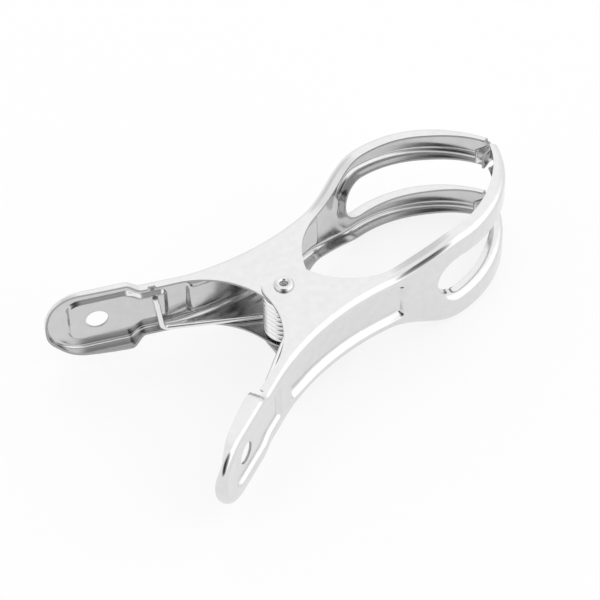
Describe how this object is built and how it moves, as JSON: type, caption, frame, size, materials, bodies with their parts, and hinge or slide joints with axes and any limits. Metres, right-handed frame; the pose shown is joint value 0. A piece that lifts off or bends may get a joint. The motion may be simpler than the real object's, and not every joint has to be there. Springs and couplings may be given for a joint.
{
  "type": "clothespin",
  "caption": "Stamped sheet-steel clothespin: two forked levers with lapping cheeks turn on a tubular rivet, and a coiled torsion spring closes their folded noses.",
  "frame": {"origin": "on the rivet's axis at mid width", "axes": "+X from the rivet to the jaws' noses, +Y to the inner lever's side, +Z along the rivet"},
  "size_m": [0.1173, 0.0686, 0.0286],
  "materials": {
    "polished_sheet": "mirror polished",
    "spring_wire": "drawn and polished",
    "rivet_steel": "rolled and polished"
  },
  "bodies": {
    "inner_body": {"inner_lever": "polished_sheet", "pivot_rivet": "rivet_steel", "torsion_spring": "spring_wire"},
    "outer_body": {"outer_lever": "polished_sheet"}
  },
  "joints": [
    {"name": "jaw_hinge", "type": "hinge", "parent": "inner_body", "child": "outer_body", "pos_m": [0, 0, 0], "axis": [0, 0, -1], "range_deg": [0, 62], "stiffness_Nm_per_rad": 0.27, "springref_deg": -91.67, "deforming": ["torsion_spring"]}
  ]
}
